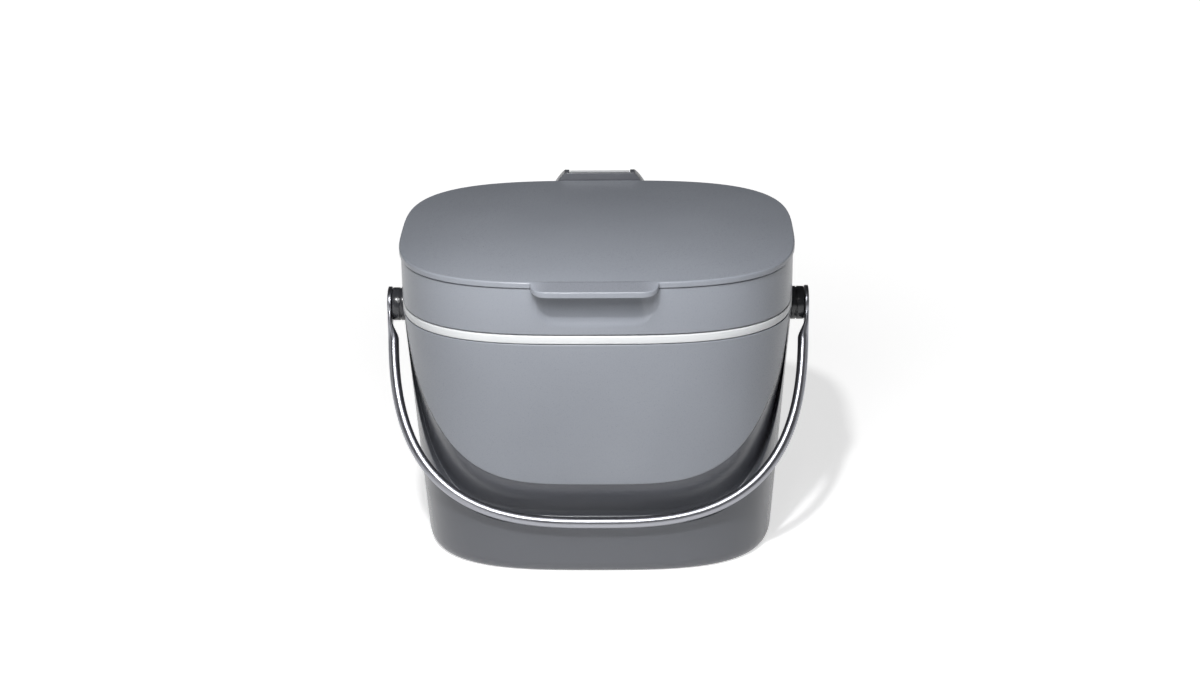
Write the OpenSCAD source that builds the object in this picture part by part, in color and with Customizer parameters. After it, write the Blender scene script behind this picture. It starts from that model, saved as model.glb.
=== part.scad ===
// Countertop compost caddy: a tapered oval bucket with a bail handle, and a lift-off collar
// that carries a hinged lid. Millimetres, +Z up, origin at the middle of the bucket's base.
// The front of the caddy, with the lid's lip, faces -Y. The hinge is at the back, +Y.

/* [Bucket] */
// Width of the bucket across its rim
rim_w = 263; // [258:1:268]
// Depth of the bucket across its rim, front to back
rim_d = 202; // [198:1:206]
// Width of the bucket at its foot
foot_w = 239; // [234:1:243]
// Depth of the bucket at its foot
foot_d = 179; // [175:1:183]
// Height of the bucket's rim above the table
bucket_h = 171.6; // [168:0.2:175]
// Exponent of the oval: 2 is an ellipse, more is squarer
squareness = 3.17; // [2.8:0.01:3.5]
// Wall thickness of the bucket
wall = 2.8; // [2.2:0.1:3.2]
// Height over which the side curves in to the foot
foot_h = 9; // [6:0.5:10]

/* [Handle channel] */
// Depth of the channel at its lower side, where the handle rests
channel_depth = 12; // [9:0.5:13]
// Height of a panel's lower edge at the middle
panel_z = 68; // [64:1:72]
// Height of the shelf under the channel at the middle
shelf_z = 37.5; // [34:0.5:38]
// Width over which both curves run out to the side walls
channel_w = 254.6; // [252:0.2:256]

/* [Handle] */
// Height of the handle's pivots above the table
pivot_z = 160.5; // [160:0.1:161]
// Outer width of the handle across its arms
bail_w = 287.6; // [286:0.2:290]
// Length of the handle from its pivots to its outer edge
bail_reach = 156.8; // [155:0.2:160]
// Diameter of the handle's rod
rod_d = 7.3; // [6.8:0.1:7.4]
// Angle at which the handle leans forward when it rests on the shelf
rest_angle = 38.3; // [38:0.1:40]

/* [Collar] */
// Height of the pale ring between bucket and collar
ring_h = 6.4; // [5:0.2:7]
// Height of the collar
collar_h = 31.6; // [30:0.2:33]
// Width of the deck at the top of the collar
deck_w = 12; // [12:0.5:14]

/* [Lid] */
// Distance by which the lid overhangs the collar
overhang = 1; // [0.5:0.1:1.5]
// Thickness of the lid at its edge
lid_t = 4; // [3.8:0.1:4.4]
// Rise of the lid's top from its edge to its middle
crown = 1.2; // [0.5:0.1:2]
// Width of the lip at the front of the lid
lip_w = 76; // [74:1:77]

/* [Hinge] */
// Distance of the hinge axis behind the middle of the caddy
hinge_y = 109; // [109:0.1:109.4]
// Width of the hinge hood at its foot
hood_w = 64; // [60:1:66]
// Width of the pale barrel between the hood's cheeks
barrel_w = 42.8; // [40:0.2:43]

/* [Hidden] */

$fn = 64;
eps = 0.01;
// Points round an oval outline, and along a channel curve
outline_points = 96;
curve_points = 44;

// Gap that shows as a dark line between two shells
shadow_gap = 0.5;
ring_low = bucket_h + 0.2;
collar_low = ring_low + ring_h + shadow_gap;
collar_high = collar_low + collar_h;
lid_low = collar_high + 0.6;
lid_high = lid_low + lid_t;
hinge_z = lid_low + 4.3;
hinge_pin_r = 2;
pivot_r = 3;
running_gap = 0.05;

// ---------- outlines ----------

// Oval with half width a and half depth b, as points at even angles
function oval(a, b) = [
    for (i = [0:outline_points - 1])
        let (t = 360 * i / outline_points,
             r = pow(pow(abs(cos(t)) / a, squareness) + pow(abs(sin(t)) / b, squareness),
                     -1 / squareness))
        [r * cos(t), r * sin(t)]
];

// Half width and half depth of the tapered bucket at a height
function half_w(z) = (foot_w + (rim_w - foot_w) * z / bucket_h) / 2;
function half_d(z) = (foot_d + (rim_d - foot_d) * z / bucket_h) / 2;

// Shares of the way down a channel curve, from its left end to its right end
curve_shares = [for (i = [0:curve_points]) pow(sin(180 * i / curve_points), 1.38)];

// Squarish U curve from (-half, top) through (0, low) to (half, top)
function u_curve(half, low, top, px, pz) = [
    for (i = [0:curve_points])
        [
            half * sign(2 * i - curve_points) * pow(1 - pow(curve_shares[i], pz), 1 / px),
            top - (top - low) * curve_shares[i]
        ]
];

// Closed solid through a row of closed sections, which turn anticlockwise about the way they go
module loft(sections) {
    n = len(sections[0]);
    last = (len(sections) - 1) * n;
    sides = [
        for (j = [0:len(sections) - 2], i = [0:n - 1])
            let (a = j * n + i, b = j * n + (i + 1) % n)
            each [[a, a + n, b + n], [a, b + n, b]]
    ];
    first_cap = [[for (i = [0:n - 1]) i]];
    last_cap = [[for (i = [n - 1:-1:0]) last + i]];
    polyhedron([for (s = sections) each s], concat(first_cap, sides, last_cap), convexity = 6);
}

// Closed solid through a stack of ovals, each level being [z, half width, half depth]
module stack(levels) {
    loft([for (l = levels) [for (p = oval(l[1], l[2])) [p[0], p[1], l[0]]]]);
}

// Upright oval band between two heights; insets are measured from a w by d oval
module band(low, high, outer_inset, inner_inset, w = rim_w, d = rim_d) {
    translate([0, 0, low])
        linear_extrude(high - low)
            difference() {
                polygon(oval(w / 2 - outer_inset, d / 2 - outer_inset));
                polygon(oval(w / 2 - inner_inset, d / 2 - inner_inset));
            }
}

// Upright oval slab between two heights
module slab(low, high, inset, w = rim_w, d = rim_d) {
    translate([0, 0, low])
        linear_extrude(high - low)
            polygon(oval(w / 2 - inset, d / 2 - inset));
}

// Front-view outline pushed from y = from to y = to
module front_prism(from, to) {
    translate([0, to, 0])
        rotate([90, 0, 0])
            linear_extrude(to - from)
                children();
}

// Side-view outline, drawn as [y, z], pushed across x = -half to x = half
module side_prism(half) {
    rotate([90, 0, 90])
        translate([0, 0, -half])
            linear_extrude(2 * half)
                children();
}

// Both sides of the caddy
module both_sides() {
    children();
    mirror([1, 0, 0]) children();
}

// ---------- bucket ----------

shell_top = 162;
floor_t = 3;
// Upstand above the shoulder, which the ring and the collar fit round
rim_inset = 5.4;
upstand_t = 2.2;
upstand_h = 8.4;
// Bosses on the ends, with a socket in each for a bush
boss_r = 11.4;
boss_root = 124;
boss_face = 131.7;
socket_r = 5.5;
socket_face = 122.8;
socket_wall = 3;

// Tapered body inset all round by d, from a low to a high level
module body(d, low, high) {
    stack([[low, half_w(low) - d, half_d(low) - d], [high, half_w(high) - d, half_d(high) - d]]);
}

// Place of the body's front, inset by d, at x across and at height z
function front_y(x, z, d) =
    let (share = pow(abs(x) / (half_w(z) - d), squareness))
    (d - half_d(z)) * pow(max(0, 1 - share), 1 / squareness);

// Depth of the channel at the panel's edge, and the share of its width at which it is full
edge_step = 1;
full_depth_at = 0.92;
// Width below which the channel grows shallower, towards its ends
narrow = 13;
// Exponents of the channel's two curves, across and down
edge_powers = [4.2, 1.45];
shelf_powers = [5.5, 2];

// Depth of the channel at a share of the way from the panel's edge to the shelf
function ramp(share, width) =
    min(1, width / narrow)
    * (edge_step + (channel_depth - edge_step) * min(1, share / full_depth_at));

// One section across the channel, from the shelf's edge back over the ramp to the panel's edge
function channel_section(shelf, edge, d) =
    let (width = norm(shelf - edge))
    concat(
        [[shelf[0], -rim_d, shelf[1]]],
        [
            for (share = [1, 0.92, 0.77, 0.62, 0.46, 0.31, 0.15, 0])
                let (p = edge + (shelf - edge) * share)
                [p[0], front_y(p[0], p[1], d) + ramp(share, width), p[1]]
        ],
        [[edge[0], -rim_d, edge[1]]]
    );

// One handle channel, as a ramp that sinks from the panel's edge to the shelf; d insets the body
// and grows the channel by as much, for the inner side of the wall
module channel(d) {
    half = channel_w / 2;
    top = pivot_z + 6;
    edge = u_curve(half, panel_z + d, top + d, edge_powers[0], edge_powers[1]);
    shelf = u_curve(half + d, shelf_z - d, top + d, shelf_powers[0], shelf_powers[1]);
    loft([for (i = [1:curve_points - 1]) channel_section(shelf[i], edge[i], d)]);
}

// Body with the front and back handle channels pressed into it
module channelled_body(d, low, high) {
    difference() {
        body(d, low, high);
        channel(d);
        mirror([0, 1, 0]) channel(d);
    }
}

// Foot, curving in below the straight side; each pair is a share of its height and the inset there
module foot() {
    stack([
        for (l = [[0, 3.4], [0.05, 2.3], [0.13, 1.6], [0.28, 0.9], [0.55, 0.35], [1, 0]])
            let (z = l[0] * foot_h)
            [z, half_w(z) - l[1], half_d(z) - l[1]]
    ]);
}

module bucket() {
    color("slategray") difference() {
        union() {
            foot();
            channelled_body(0, foot_h, bucket_h);
            slab(shell_top, bucket_h + upstand_h, rim_inset - upstand_t);
            both_sides()
                translate([boss_root, 0, pivot_z])
                    rotate([0, 90, 0])
                        cylinder(r = boss_r - 0.2, h = boss_face - boss_root);
        }
        difference() {
            channelled_body(wall, floor_t, shell_top);
            both_sides()
                translate([socket_face - wall, 0, pivot_z])
                    rotate([0, 90, 0])
                        cylinder(r = socket_r + socket_wall, h = 20);
        }
        slab(shell_top - eps, bucket_h + 20, rim_inset);
        both_sides()
            translate([socket_face, 0, pivot_z])
                rotate([0, 90, 0])
                    cylinder(r = socket_r, h = 20);
    }
}

// Pale ring that sits on the bucket's shoulder, outside its upstand
module trim_ring() {
    color("gainsboro")
        band(ring_low, ring_low + ring_h, 0, rim_inset - upstand_t - 0.2);
}

// ---------- handle pivots ----------

bush_face = 140.6;
bore_end = 124;
// Groove round the bush's head, measured from the face of the boss
groove_from = 3.2;
groove_w = 0.8;
groove_depth = 0.6;
eye_t = 2.8;
eye_r = 12;
eye_face = bail_w / 2;
head_r = 6;

// Dark bush pressed into the bucket's socket; the handle's eye runs against its face
module pivot_bush() {
    color("dimgray")
        translate([0, 0, pivot_z])
            rotate([0, 90, 0])
                difference() {
                    union() {
                        translate([0, 0, socket_face + 0.2])
                            cylinder(r = socket_r - 0.05, h = boss_face - socket_face);
                        translate([0, 0, boss_face])
                            cylinder(r = boss_r, h = bush_face - boss_face);
                    }
                    translate([0, 0, bore_end])
                        cylinder(r = pivot_r, h = 30);
                    translate([0, 0, boss_face + groove_from])
                        difference() {
                            cylinder(r = boss_r + 1, h = groove_w);
                            translate([0, 0, -1])
                                cylinder(r = boss_r - groove_depth, h = groove_w + 2);
                        }
                }
}

// Headed pin through the eye of the handle into the bush
module pivot_pin() {
    color("silver")
        translate([0, 0, pivot_z])
            rotate([0, 90, 0])
                union() {
                    translate([0, 0, bore_end + 0.2])
                        cylinder(r = pivot_r, h = eye_face - bore_end - 0.3);
                    translate([0, 0, eye_face - 1.3])
                        cylinder(r = head_r, h = 1.2);
                }
}

module pivot_bush_right() pivot_bush();
module pivot_bush_left() mirror([1, 0, 0]) pivot_bush();
module pivot_pin_right() pivot_pin();
module pivot_pin_left() mirror([1, 0, 0]) pivot_pin();

// ---------- handle ----------

// Exponent of the handle's arch, and points round the rod
arch_p = 2.85;
rod_points = 18;
// Distances below the pivots between which the rod is pressed flat
flat_from = 8;
round_from = 28;
paddle_w = 18;

// Smooth step from 0 at low to 1 at high
function ease(v, low, high) =
    let (s = min(1, max(0, (v - low) / (high - low))))
    s * s * (3 - 2 * s);

// Angles of the rod's sections round the arch, closer together where the rod is pressed flat
function arch_angle(drop) = asin(pow(drop / bail_reach, arch_p / 2));
flat_angles = [for (drop = [flat_from:2.5:round_from]) arch_angle(drop)];
round_start = arch_angle(round_from + 2.5);
round_steps = 56;
section_angles = concat(
    flat_angles,
    [for (i = [0:round_steps]) round_start + (180 - 2 * round_start) * i / round_steps],
    [for (i = [len(flat_angles) - 1:-1:0]) 180 - flat_angles[i]]
);

// One section of the rod, in the upright plane of the arch
function rod_section(t) =
    let (x = bail_w / 2 * sign(cos(t)) * pow(abs(cos(t)), 2 / arch_p),
         drop = bail_reach * pow(sin(t), 2 / arch_p),
         slope_x = sign(x) * pow(abs(x) / (bail_w / 2), arch_p - 1) / (bail_w / 2),
         slope_z = -pow(drop / bail_reach, arch_p - 1) / bail_reach,
         n = norm([slope_x, slope_z]),
         thick = eye_t + (rod_d - eye_t) * ease(drop, flat_from + 4, round_from - 2),
         wide = paddle_w + (rod_d - paddle_w) * ease(drop, flat_from, round_from))
    [for (k = [0:rod_points - 1])
        let (f = 360 * k / rod_points, inward = thick / 2 * (1 - cos(f)))
        [x - slope_x / n * inward, -wide / 2 * sin(f), -drop - slope_z / n * inward]];

// Bore and countersink of an eye
module eye_bore() {
    translate([eye_face - eye_t - 6, 0, 0])
        rotate([0, 90, 0])
            cylinder(r = pivot_r + running_gap, h = eye_t + 8);
    translate([eye_face - 1.5, 0, 0])
        rotate([0, 90, 0])
            cylinder(r = head_r + 0.3, h = 2);
}

module handle_bail() {
    color("silver")
        translate([0, 0, pivot_z])
            rotate([-rest_angle, 0, 0])
                difference() {
                    union() {
                        loft([for (t = section_angles) rod_section(t)]);
                        both_sides()
                            translate([eye_face - eye_t, 0, 0])
                                rotate([0, 90, 0])
                                    cylinder(r = eye_r, h = eye_t);
                    }
                    both_sides() eye_bore();
                }
}

// ---------- collar ----------

scoop_half = 38;
scoop_low = collar_low + 5;
scoop_depth = 9.5;
scoop_corner = 14;
scoop_bow = 45;
scoop_wall = 2.2;

// Side view of the scoop: an arc that leans back from the wall as it rises, grown by g
module scoop_section(g) {
    foot = [-rim_d / 2, scoop_low];
    head = [scoop_depth - rim_d / 2, collar_high];
    chord = head - foot;
    height = sqrt(scoop_bow * scoop_bow - chord * chord / 4);
    centre = (foot + head) / 2 + [-chord[1], chord[0]] / norm(chord) * height;
    translate(centre)
        circle(r = scoop_bow + g, $fn = 128);
}

// Finger scoop under the lip, open at the top and rounded at its lower corners
module scoop(g) {
    intersection() {
        front_prism(-rim_d / 2 - 5, -rim_d / 2 + scoop_depth + 4)
            hull() {
                for (s = [-1, 1])
                    translate([s * (scoop_half - scoop_corner), scoop_low + scoop_corner])
                        circle(r = scoop_corner + g);
                translate([-scoop_half - g, collar_high - 8])
                    square([2 * (scoop_half + g), 12]);
            }
        side_prism(scoop_half + 5)
            scoop_section(g);
    }
}

module collar() {
    color("slategray") difference() {
        union() {
            band(collar_low, collar_high, 0, 2.6);
            band(collar_high - 2.4, collar_high, 1, deck_w);
            intersection() {
                scoop(scoop_wall);
                slab(collar_low, collar_high, 1);
            }
        }
        scoop(0);
        bracket_screws(1.6);
    }
}

// ---------- hinge ----------

barrel_r = 4.4;
wall_y = rim_d / 2 + 0.05;
bracket_half = 26;
screw_x = 18;
screw_z = collar_low + 15;

// Shanks of the two screws that hold the bracket to the collar
module bracket_screws(r) {
    for (x = [-screw_x, screw_x])
        translate([x, wall_y - 6, screw_z])
            rotate([-90, 0, 0])
                cylinder(r = r, h = 9);
}

// Pale bracket on the back of the collar, with the barrel that the lid turns on
module hinge_bracket() {
    foot_z = collar_high - 0.6;
    color("gainsboro") difference() {
        union() {
            side_prism(barrel_w / 2)
                polygon([
                    [wall_y, foot_z - 14], [wall_y + 4, foot_z - 14], [hinge_y + barrel_r, foot_z - 2],
                    [hinge_y + barrel_r, hinge_z], [hinge_y - barrel_r, hinge_z],
                    [hinge_y - barrel_r, foot_z], [wall_y, foot_z]
                ]);
            front_prism(wall_y, wall_y + 3.4)
                polygon([
                    [-bracket_half, foot_z - 22], [bracket_half, foot_z - 22],
                    [barrel_w / 2, foot_z], [-barrel_w / 2, foot_z]
                ]);
            translate([-barrel_w / 2, hinge_y, hinge_z])
                rotate([0, 90, 0])
                    cylinder(r = barrel_r, h = barrel_w);
        }
        translate([-40, hinge_y, hinge_z])
            rotate([0, 90, 0])
                cylinder(r = hinge_pin_r, h = 80);
        bracket_screws(1.5);
    }
}

module hinge_pin() {
    color("silver")
        translate([-bracket_half, hinge_y, hinge_z])
            rotate([0, 90, 0])
                cylinder(r = hinge_pin_r, h = 2 * bracket_half);
}

// Two pan-headed screws, driven from inside the collar
module hinge_screws() {
    color("silver") {
        translate([0, 1.6, 0])
            for (x = [-screw_x, screw_x])
                translate([x, wall_y - 6, screw_z])
                    rotate([-90, 0, 0])
                        cylinder(r = 1.5, h = 7);
        for (x = [-screw_x, screw_x])
            translate([x, wall_y - 4.6, screw_z])
                rotate([-90, 0, 0])
                    cylinder(r = 3, h = 1.7);
    }
}

// ---------- lid ----------

lid_w = rim_w + 2 * overhang;
lid_d = rim_d + 2 * overhang;
lid_front = -lid_d / 2;
lip_half = lip_w / 2;
lip_front = lid_front - 3.2;
lip_low = lid_low - 6;
lip_corner = 8;
plug_inset = deck_w + overhang + 1.4;

// Lid's outer form: a thin upright edge, a rolled corner and a slightly crowned top
module lid_form() {
    a = lid_w / 2;
    b = lid_d / 2;
    stack([
        [lid_low, a - 0.3, b - 0.3],
        [lid_low + 0.4, a, b],
        [lid_low + 1.6, a, b],
        [lid_low + 2.8, a - 0.6, b - 0.6],
        [lid_low + 3.6, a - 1.6, b - 1.6],
        [lid_high, a - 3.2, b - 3.2],
        [lid_high + crown * 0.45, a - 26, b - 26],
        [lid_high + crown * 0.8, a - 52, b - 52],
        [lid_high + crown, a - 88, b - 88]
    ]);
}

// Front view of the lip, with two rounded lower corners
module lip_outline(g) {
    hull() {
        for (s = [-1, 1])
            translate([s * (lip_half - lip_corner - 1), lip_low + lip_corner])
                circle(r = lip_corner + g);
        translate([-lip_half - g, lid_low + 1.5])
            square([2 * (lip_half + g), 8]);
    }
}

// Side view of the lip: a steep face drops from the lid's rolled edge to a narrow ledge, which
// the fingers lift. up raises its top to cut the lid away above it.
module lip_section(up) {
    polygon([
        [lid_front + 3.2, lid_low + 1.9], [lid_front + 3.2, lid_high + up],
        [lid_front + 2.1, lid_high - 0.2 + up], [lid_front + 1.5, lid_high - 0.9 + up],
        [lid_front - 0.1, lip_low + 3.3 + up], [lid_front - 0.6, lip_low + 2.7 + up],
        [lip_front + 0.9, lip_low + 2.3 + up], [lip_front + 0.3, lip_low + 1.8 + up],
        [lip_front, lip_low + 1.1 + up], [lip_front, lip_low + 0.4],
        [lip_front + 0.5, lip_low], [lid_front - 0.2, lip_low],
        [lid_front + 0.6, lip_low + 1.2], [lid_front + 2.4, lid_low],
        [lid_front + 2.4, lid_low + 1.9]
    ]);
}

// Hood that stands up at the back of the lid and carries the hinge pin in its cheeks
module hood() {
    top = hinge_z + 5.1;
    side = barrel_w / 2 + 0.4;
    difference() {
        intersection() {
            front_prism(lid_d / 2 - 3, hinge_y + 5.6)
                hull() {
                    translate([-hood_w / 2, lid_low])
                        square([hood_w, 0.5]);
                    for (s = [-1, 1])
                        translate([s * (hood_w / 2 - 10), top - 3])
                            circle(r = 3, $fn = 32);
                }
            side_prism(hood_w)
                union() {
                    translate([hinge_y, hinge_z])
                        circle(r = 5.1);
                    translate([hinge_y - 6.6, lid_low])
                        square([5.6, top - lid_low]);
                    translate([hinge_y - 9.3, lid_low])
                        square([8, 3.2]);
                }
        }
        side_prism(side)
            translate([hinge_y - barrel_r - 0.5, lid_low - 1])
                square([20, 20]);
        translate([-40, hinge_y, hinge_z])
            rotate([0, 90, 0])
                cylinder(r = hinge_pin_r + running_gap, h = 80);
    }
}

module lid_shell() {
    color("slategray") union() {
        difference() {
            lid_form();
            slab(lid_low - 1, lid_low + 1.9, 2.4, lid_w, lid_d);
            intersection() {
                front_prism(lip_front - 5, lid_front + 5)
                    lip_outline(0);
                side_prism(lip_half + 5)
                    lip_section(12);
            }
        }
        intersection() {
            front_prism(lip_front - 5, lid_front + 6)
                lip_outline(0.02);
            side_prism(lip_half + 5)
                lip_section(0);
        }
        hood();
    }
}

// Pale inner panel: a flange inside the shell and a shallow pan that plugs the collar
module lid_liner() {
    pan_low = lid_low - 4.4;
    color("gainsboro") difference() {
        union() {
            slab(lid_low, lid_low + 1.8, 2.6, lid_w, lid_d);
            slab(pan_low, lid_low + 1, plug_inset, lid_w, lid_d);
        }
        slab(pan_low + 2, lid_low + 3, plug_inset + 2, lid_w, lid_d);
    }
}

// Soft ring round the pan that closes against the mouth of the collar
module lid_seal() {
    color("lightgray")
        band(lid_low - 3.4, lid_low - 1, plug_inset - 0.6, plug_inset, lid_w, lid_d);
}

bucket();
trim_ring();
pivot_bush_left();
pivot_bush_right();
pivot_pin_left();
pivot_pin_right();
handle_bail();
collar();
hinge_bracket();
hinge_pin();
hinge_screws();
lid_shell();
lid_liner();
lid_seal();
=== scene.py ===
import bpy
import numpy as np
from mathutils import Matrix, Vector


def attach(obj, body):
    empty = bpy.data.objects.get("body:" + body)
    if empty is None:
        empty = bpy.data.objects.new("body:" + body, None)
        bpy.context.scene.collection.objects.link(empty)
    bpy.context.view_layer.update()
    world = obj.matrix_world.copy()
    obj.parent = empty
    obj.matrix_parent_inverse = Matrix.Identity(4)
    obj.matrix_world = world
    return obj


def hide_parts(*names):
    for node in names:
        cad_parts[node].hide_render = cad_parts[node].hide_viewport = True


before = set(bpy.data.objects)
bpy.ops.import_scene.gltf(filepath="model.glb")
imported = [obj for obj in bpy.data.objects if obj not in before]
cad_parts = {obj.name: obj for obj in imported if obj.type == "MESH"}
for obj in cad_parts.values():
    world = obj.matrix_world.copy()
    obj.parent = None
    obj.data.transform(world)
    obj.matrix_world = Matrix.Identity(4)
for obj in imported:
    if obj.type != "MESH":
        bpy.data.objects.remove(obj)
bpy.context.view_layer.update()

# ---------- Point of view ----------
# A long lens a metre and a half in front of the caddy and a little above it,
# a hair to the right of its middle, and leaning by two thirds of a degree.

view_target = Vector((0, 0, 0.13484))
view_distance = 1.55397
view_elevation = np.radians(22.67)
view_turn = np.radians(1.2)
view_lean = np.radians(-0.66)

camera_data = bpy.data.cameras.new("view")
camera_data.sensor_width = 36
camera_data.lens = 67.5
camera_data.shift_x = 0.00129
camera_data.clip_start = 0.05
camera_data.clip_end = 30
camera = bpy.data.objects.new("view", camera_data)
bpy.context.scene.collection.objects.link(camera)
bpy.context.scene.camera = camera
forward = Vector(
    (
        -np.sin(view_turn) * np.cos(view_elevation),
        np.cos(view_turn) * np.cos(view_elevation),
        -np.sin(view_elevation),
    )
)
level_right = Vector((np.cos(view_turn), np.sin(view_turn), 0))
level_up = level_right.cross(forward)
leant_right = level_right * np.cos(view_lean) + level_up * np.sin(view_lean)
leant_up = level_up * np.cos(view_lean) - level_right * np.sin(view_lean)
turn = Matrix((leant_right, leant_up, -forward)).transposed()
camera.matrix_world = Matrix.Translation(view_target - forward * view_distance) @ turn.to_4x4()

# ---------- Bucket ----------
# The bucket is one thick-walled injection moulding in charcoal polypropylene. Its oval wall
# tapers to the foot. A crescent channel under a proud U-shaped panel, in front and at the back,
# takes the handle. The panel has a fine texture. The channel, sides, foot and inside are glossier and
# painted darker, a painted shade for the shadow they lie in.

squareness = 3.17
rim_half_w = 131.5
rim_half_d = 101.0
foot_half_w = 119.5
foot_half_d = 89.5
bucket_h = 171.6
wall = 2.8
foot_h = 9.0
floor_t = 3.0
channel_depth = 12.0
channel_half = 127.3
channel_top = 166.5
channel_end_w = 13.0
panel_z = 68.0
panel_powers = (4.2, 1.45)
panel_step = 1.0
shelf_z = 37.5
shelf_powers = (5.5, 2.0)
shelf_cove = 0.9
shelf_round = 1.2
shell_top = 162.0
upstand_top = 180.0
upstand_t = 2.2
shoulder = 3.2
foot_round = 3.4


def half_sizes(z):
    """Half width and half depth of the bucket's taper at height z: a straight line from foot to rim."""
    share = np.asarray(z, float) / bucket_h
    return foot_half_w + (rim_half_w - foot_half_w) * share, foot_half_d + (rim_half_d - foot_half_d) * share


def oval(angle, half_w, half_d):
    """Points of an oval at even angles: |x/a|^n + |y/b|^n = 1, so r = (|cos/a|^n + |sin/b|^n)^(-1/n)."""
    c, s = np.cos(angle), np.sin(angle)
    r = (np.abs(c / half_w) ** squareness + np.abs(s / half_d) ** squareness) ** (-1 / squareness)
    return r * c, r * s


def on_body(angle, z, inset):
    """Point of the tapered wall, set in by inset, at an angle and a height."""
    a, b = half_sizes(z)
    x, y = oval(angle, a - inset, b - inset)
    return np.stack([x, y, np.broadcast_to(z, x.shape)], -1)


def front_depth(x, z, inset=0.0):
    """Distance of the wall in front of the middle plane, at x and z seen from the front."""
    a, b = half_sizes(z)
    a, b = a - inset, b - inset
    share = np.clip(1 - (np.abs(x) / a) ** squareness, 0, 1)
    return b * share ** (1 / squareness)


def front_angle(points):
    """Angle of a point of the front half round the upright axis, from pi on the left to 2 pi on the right."""
    angle = np.arctan2(-np.abs(points[..., 1]), points[..., 0]) % (2 * np.pi)
    return np.where(angle < 1, 2 * np.pi, angle)


def resample(points, count):
    """The same line as count points, evenly spaced along its length."""
    step = np.linalg.norm(np.diff(points, axis=0), axis=1)
    length = np.concatenate([[0], np.cumsum(step)])
    at = np.linspace(0, length[-1], count)
    return np.stack([np.interp(at, length, points[:, k]) for k in range(points.shape[1])], -1)


def u_curve(half, low, powers, top, count):
    """Squarish U in front view, |x/half|^p + (depth below top / full depth)^q = 1, with p and q its powers.
    Its points are evenly spaced."""
    across = half * np.cos(np.linspace(np.pi, 0, 6001))
    share = np.clip(1 - np.abs(across / half) ** powers[0], 0, 1)
    return resample(np.stack([across, top - (top - low) * share ** (1 / powers[1])], -1), count)


def fillet(centre_q, centre_d, radius, start, end, count):
    """Part of a circle as (distance across, depth) pairs, from one angle to another in degrees."""
    angle = np.radians(np.linspace(start, end, count))
    return centre_q + radius * np.cos(angle), centre_d + radius * np.sin(angle)


def grid_quads(rows, columns, closed=False, flip=False):
    """Corner numbers of the quads of a grid; closed joins the last column to the first."""
    i, j = np.meshgrid(np.arange(rows - 1), np.arange(columns - (0 if closed else 1)), indexing="ij")
    k = (j + 1) % columns
    quads = np.stack([i * columns + j, i * columns + k, (i + 1) * columns + k, (i + 1) * columns + j], -1)
    quads = quads.reshape(-1, 4)
    return quads[:, ::-1] if flip else quads


def join(parts):
    """Several (points, quads) surfaces as one."""
    points, quads, start = [], [], 0
    for p, q in parts:
        p = np.asarray(p, float).reshape(-1, 3)
        points.append(p)
        quads.append(q + start)
        start += len(p)
    return np.concatenate(points), np.concatenate(quads)


weld = 0.002
crisp_edge = np.radians(32)


def make_piece(name, parts, body, material, node, grain=None, shade_and_polish=None):
    """One mesh object from surfaces in millimetres: equal points are welded, faces with no area are left out,
    quads that closed to a triangle stay as triangles, and edges sharper than an angle stay crisp. Grain and
    the share of gloss and painted shade are values for every point, for the material to read."""
    points, quads = join(parts)
    keys = np.round(points / weld).astype(np.int64)
    _, first, number = np.unique(keys, axis=0, return_index=True, return_inverse=True)
    number = number.reshape(-1)
    quads = number[quads]
    halves = np.concatenate([quads[:, [0, 1, 2]], quads[:, [0, 2, 3]]])
    same = (quads[:, 0] != quads[:, 1]) & (quads[:, 1] != quads[:, 2])
    same &= (quads[:, 2] != quads[:, 3]) & (quads[:, 3] != quads[:, 0])
    same &= (quads[:, 0] != quads[:, 2]) & (quads[:, 1] != quads[:, 3])
    both = np.concatenate([same, same])
    rest = halves[~both]
    rest = rest[(rest[:, 0] != rest[:, 1]) & (rest[:, 1] != rest[:, 2]) & (rest[:, 2] != rest[:, 0])]
    faces = quads[same].tolist() + rest.tolist()
    mesh = bpy.data.meshes.new(name)
    mesh.from_pydata((points[first] * 0.001).tolist(), [], faces)
    mesh.update()
    mesh.shade_smooth()
    mesh.set_sharp_from_angle(angle=crisp_edge)
    if grain is not None:
        mesh.attributes.new("grain", "FLOAT_VECTOR", "POINT").data.foreach_set("vector", grain[first].ravel())
    if shade_and_polish is not None:
        mesh.attributes.new("shade_and_polish", "FLOAT", "POINT").data.foreach_set("value", shade_and_polish[first])
    piece = bpy.data.objects.new(name, mesh)
    bpy.context.scene.collection.objects.link(piece)
    mesh.materials.append(material)
    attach(piece, body)
    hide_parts(node)


def linear(code):
    """An sRGB hex colour as linear red, green, blue and full alpha."""
    values = [int(code[k : k + 2], 16) / 255 for k in (1, 3, 5)]
    return [v / 12.92 if v <= 0.04045 else ((v + 0.055) / 1.055) ** 2.4 for v in values] + [1.0]


def add_node(material, kind, inputs=None, links=None, **settings):
    """A shader node with its settings, its input values, and its inputs that come from other nodes."""
    node = material.node_tree.nodes.new(kind)
    for key, value in settings.items():
        setattr(node, key, value)
    for key, value in (inputs or {}).items():
        node.inputs[key].default_value = value
    for key, (source, output) in (links or {}).items():
        material.node_tree.links.new(source.outputs[output], node.inputs[key])
    return node


flow_size = 110.0
shrink_size = 25.0
grain_size = 0.45
noise_range = {"From Min": 0.3, "From Max": 0.7}


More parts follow.
